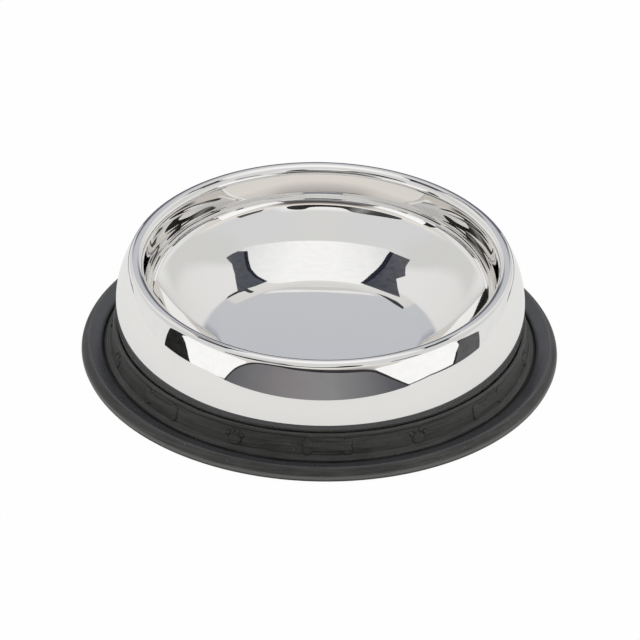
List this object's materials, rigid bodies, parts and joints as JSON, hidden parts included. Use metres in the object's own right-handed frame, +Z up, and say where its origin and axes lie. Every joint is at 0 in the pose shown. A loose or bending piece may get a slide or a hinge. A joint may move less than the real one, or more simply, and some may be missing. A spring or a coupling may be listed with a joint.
{
  "type": "non-tip pet bowl",
  "caption": "Round polished steel pet bowl with a bulging outer wall, standing in a wide black rubber base ring with a raised band of bones and paw prints.",
  "frame": {"origin": "on the bowl's axis, at the height of the table that the ring stands on", "axes": "+Z up along the axis of the bowl, -Y towards the front of the picture"},
  "size_m": [0.21, 0.21, 0.0475],
  "materials": {
    "polished_steel": "mirror-polished stainless steel",
    "black_rubber": "moulded matt black rubber"
  },
  "bodies": {
    "base_ring": {"rubber_ring": "black_rubber"},
    "bowl": {"steel_bowl": "polished_steel"}
  },
  "joints": [
    {"name": "bowl_lift", "type": "slide", "parent": "base_ring", "child": "bowl", "axis": [0, 0, 1], "range_m": [0, 0.05]}
  ]
}
